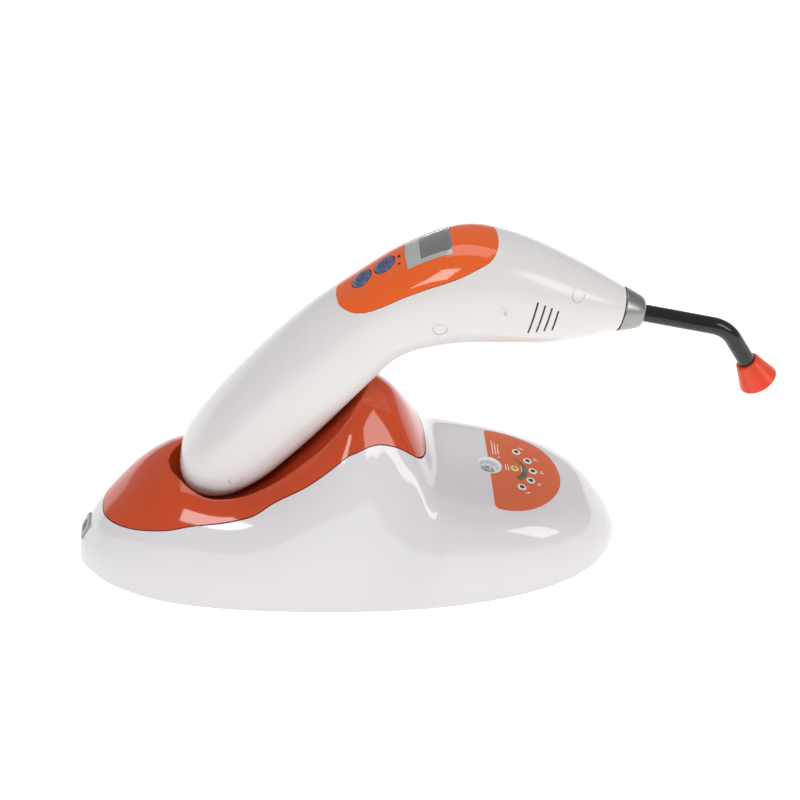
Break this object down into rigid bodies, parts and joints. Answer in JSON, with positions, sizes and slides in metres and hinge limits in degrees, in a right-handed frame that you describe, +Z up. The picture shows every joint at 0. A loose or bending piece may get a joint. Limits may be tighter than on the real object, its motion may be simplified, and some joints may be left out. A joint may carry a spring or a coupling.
{
  "type": "dental curing light",
  "caption": "Cordless dental curing light: pistol-curved handpiece with bent light guide and eye shield, standing in a charging base with a light meter.",
  "frame": {"origin": "bottom centre of the whole object's box, on the surface that the feet stand on", "axes": "+X along the base towards the light guide, +Z up, the object is symmetric about Y = 0"},
  "size_m": [0.3086, 0.0992, 0.1627],
  "materials": {
    "base_white": "high gloss moulded ABS, cool white",
    "plate_grey": "fine texture",
    "cradle_orange": "high gloss moulded ABS, orange",
    "label_orange": "printed satin film",
    "led_teal": "tinted lens with pale bezel",
    "led_yellow": "tinted lens with pale bezel",
    "well_white": "satin",
    "clear_plastic": "clear, polished",
    "lcd_glass": "clear, polished",
    "chip_black": "moulded epoxy",
    "board_green": "solder mask",
    "jack_grey": "satin",
    "gold_contact": "gold plated",
    "spring_steel": "wire",
    "foot_rubber": "matt",
    "screw_steel": "zinc plated",
    "wire_red": "insulated wire",
    "shell_white": "pearl gloss moulded ABS, warm white",
    "panel_orange": "high gloss moulded plastic, orange",
    "lcd_grey": "display glass in a pale frame",
    "button_blue": "semi-gloss, dark icon",
    "cell_wrap": "shrink wrap",
    "aluminium_fin": "machined",
    "led_ceramic": "white",
    "phosphor": "phosphor and silicone",
    "collar_steel": "turned, fine circumferential brushing",
    "gasket_black": "matt",
    "guide_glass": "black jacketed glass rod, polished",
    "shield_red": "orange-red silicone, satin"
  },
  "bodies": {
    "base": {"base_cover": "base_white", "base_plate": "plate_grey", "cradle": "cradle_orange", "meter_label": "label_orange", "meter_leds": "led_teal", "status_led": "led_yellow", "sensor_seat": "well_white", "sensor_window": "clear_plastic", "light_sensor": "chip_black", "meter_board": "board_green", "base_board": "board_green", "dc_jack": "jack_grey", "pin_holder": "chip_black", "pin_springs": "spring_steel", "base_feet": "foot_rubber", "base_screws": "screw_steel", "cradle_screws": "screw_steel", "base_harness": "wire_red"},
    "pins": {"charge_pins": "gold_contact"},
    "handpiece": {"shell_left": "shell_white", "shell_right": "shell_white", "control_panel": "panel_orange", "lcd_window": "lcd_glass", "lcd_module": "lcd_grey", "tact_switches": "chip_black", "control_board": "board_green", "driver_board": "board_green", "buzzer": "chip_black", "battery": "cell_wrap", "battery_holder": "chip_black", "battery_terminals": "spring_steel", "charge_contacts": "gold_contact", "fan_frame": "chip_black", "heat_sink": "aluminium_fin", "led_board": "led_ceramic", "led_emitter": "phosphor", "lens_holder": "chip_black", "beam_lens": "clear_plastic", "nose_gasket": "gasket_black", "nose_collar": "collar_steel", "guide_o_ring": "gasket_black", "shell_screws": "screw_steel", "screw_caps": "shell_white"},
    "power_button": {"power_button": "button_blue"},
    "mode_button": {"mode_button": "button_blue"},
    "fan": {"fan_rotor": "chip_black"},
    "guide": {"guide_ferrule": "screw_steel", "light_guide": "guide_glass"},
    "shield": {"eye_shield": "shield_red"}
  },
  "joints": [
    {"name": "handpiece_lift", "type": "slide", "parent": "base", "child": "handpiece", "axis": [0, 0, 1], "range_m": [0, 0.12]},
    {"name": "charge_pins_press", "type": "slide", "parent": "base", "child": "pins", "axis": [0, 0, -1], "range_m": [0, 0.0012], "stiffness_N_per_m": 300, "deforming": ["pin_springs"]},
    {"name": "power_button_press", "type": "slide", "parent": "handpiece", "child": "power_button", "axis": [0.5807, 0, -0.8141], "range_m": [0, 0.0007], "stiffness_N_per_m": 1200},
    {"name": "mode_button_press", "type": "slide", "parent": "handpiece", "child": "mode_button", "axis": [0.5225, 0, -0.8526], "range_m": [0, 0.0007], "stiffness_N_per_m": 1200},
    {"name": "fan_spin", "type": "hinge", "parent": "handpiece", "child": "fan", "pos_m": [0.04737, 0, 0.13239], "axis": [0.9673, 0, -0.2538], "continuous": true},
    {"name": "guide_turn", "type": "hinge", "parent": "handpiece", "child": "guide", "pos_m": [0.08316, 0, 0.123], "axis": [0.9673, 0, -0.2538], "continuous": true},
    {"name": "shield_pull", "type": "slide", "parent": "guide", "child": "shield", "axis": [0.5, 0, -0.866], "range_m": [0, 0.012]}
  ]
}
